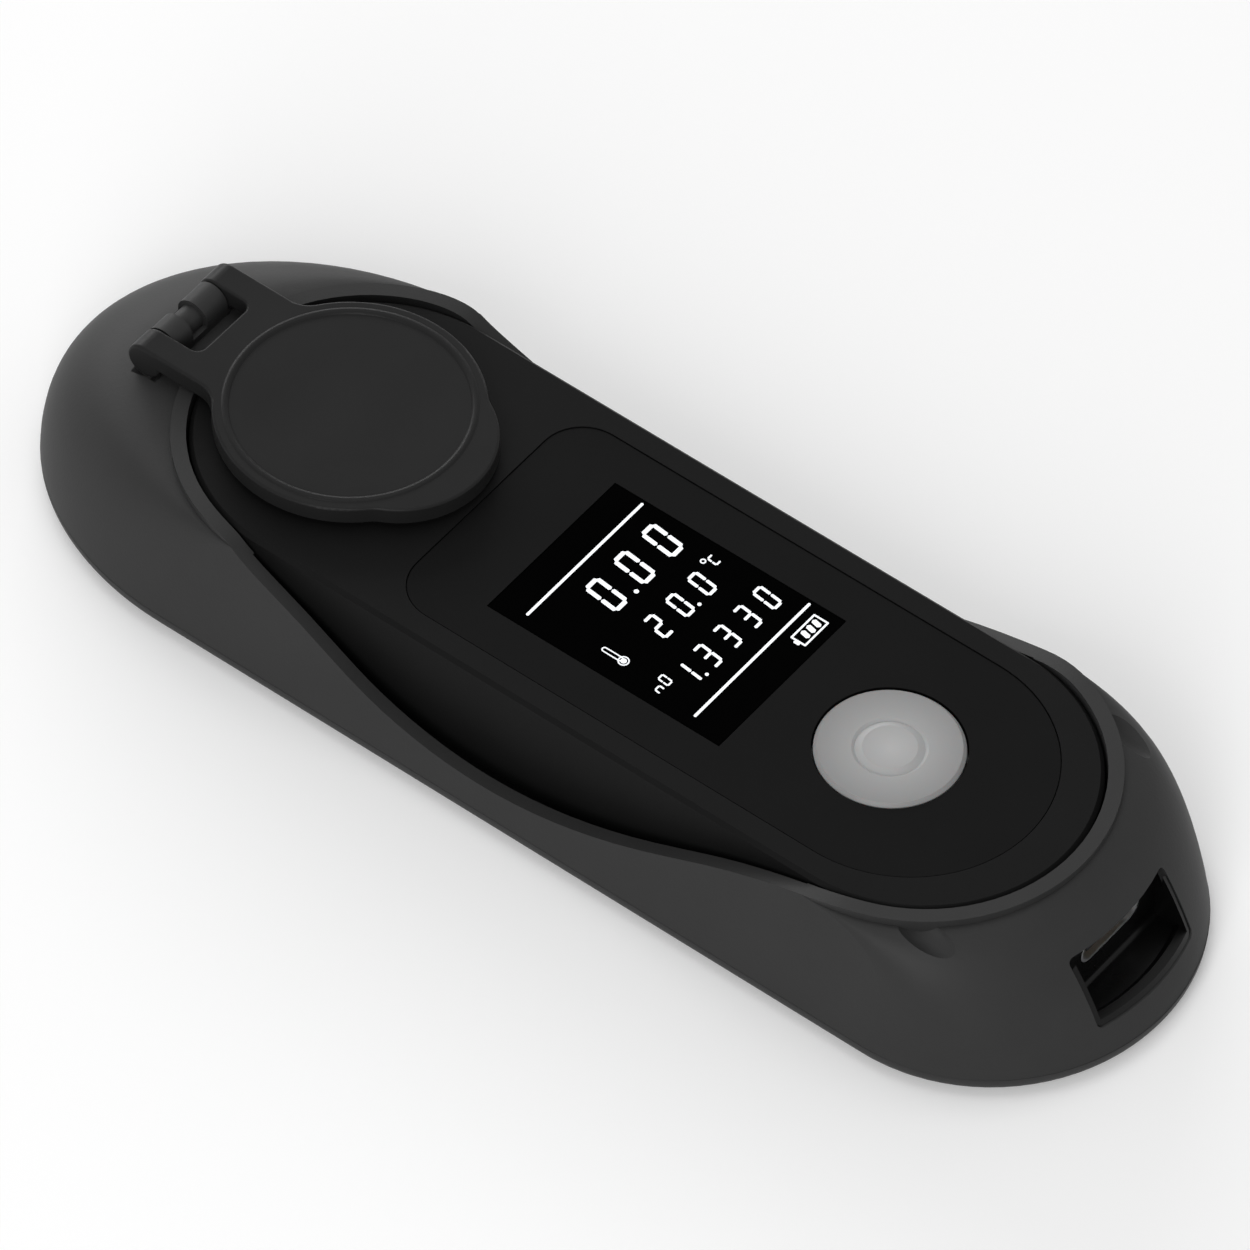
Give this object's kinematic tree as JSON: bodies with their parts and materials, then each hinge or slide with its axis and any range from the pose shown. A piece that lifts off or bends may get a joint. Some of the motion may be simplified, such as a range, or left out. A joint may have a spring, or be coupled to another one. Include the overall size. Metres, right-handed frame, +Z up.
{
  "type": "digital refractometer",
  "caption": "Pocket digital refractometer with a black display, one round key, a hinged lid over the sample well and a charging socket in the near end.",
  "frame": {"origin": "centre of the base, on the surface that the instrument rests on", "axes": "+Z up out of the display, +Y along the body from the charging inlet to the lid hinge, +X to the right for someone who reads the display"},
  "size_m": [0.0412, 0.1296, 0.0192],
  "materials": {
    "shell_elastomer": "matte",
    "case_plastic": "fine texture",
    "lid_plastic": "satin",
    "seal_silicone": "matte",
    "screw_steel": "zinc plated",
    "socket_steel": "tinned",
    "front_foil": "satin film",
    "window_acrylic": "polished",
    "display_glass": "polished",
    "light_guide": "clear",
    "contact_rubber": "matte",
    "frame_plastic": "moulded",
    "button_silicone": "satin",
    "component_plastic": "moulded",
    "connector_nylon": "moulded",
    "board_laminate": "solder resist",
    "battery_pouch": "laminated foil",
    "lead_jacket": "satin",
    "well_steel": "polished",
    "prism_glass": "polished",
    "block_plastic": "matte black",
    "lamp_epoxy": "clear",
    "flex_film": "polyimide film"
  },
  "bodies": {
    "housing": {"outer_shell": "shell_elastomer", "upper_case": "case_plastic", "lower_case": "case_plastic", "case_gasket": "seal_silicone", "well_seal": "seal_silicone", "prism_seal": "seal_silicone", "battery_pad": "seal_silicone", "case_screws": "screw_steel", "board_screws": "screw_steel", "optics_screws": "screw_steel", "hinge_pin": "screw_steel", "usb_socket": "socket_steel", "front_membrane": "front_foil", "display_window": "window_acrylic", "display_panel": "display_glass", "backlight": "light_guide", "contact_strips": "contact_rubber", "display_frame": "frame_plastic", "tact_switch": "component_plastic", "controller_chip": "component_plastic", "usb_tongue": "component_plastic", "image_sensor": "component_plastic", "temperature_sensor": "component_plastic", "battery_connector": "connector_nylon", "main_board": "board_laminate", "lamp_board": "board_laminate", "sensor_board": "board_laminate", "battery": "battery_pouch", "battery_leads": "lead_jacket", "sample_well": "well_steel", "prism": "prism_glass", "lens": "prism_glass", "optical_block": "block_plastic", "lamp": "lamp_epoxy", "sensor_flex": "flex_film"},
    "lid_body": {"lid": "lid_plastic", "lid_seal": "seal_silicone"},
    "key": {"button": "button_silicone"},
    "plunger": {"switch_plunger": "component_plastic"}
  },
  "joints": [
    {"name": "lid_hinge", "type": "hinge", "parent": "housing", "child": "lid_body", "pos_m": [0, 0.05135, 0.0172], "axis": [-1, 0, 0], "range_deg": [0, 135]},
    {"name": "button_press", "type": "slide", "parent": "housing", "child": "key", "axis": [0, 0, -1], "range_m": [0, 0.0005], "stiffness_N_per_m": 1500, "springref_m": -0.0002},
    {"name": "plunger_press", "type": "slide", "parent": "housing", "child": "plunger", "axis": [0, 0, -1], "range_m": [0, 0.0005]}
  ],
  "couplings": [
    {"joint": "plunger_press", "follows": "button_press", "ratio": 1}
  ]
}
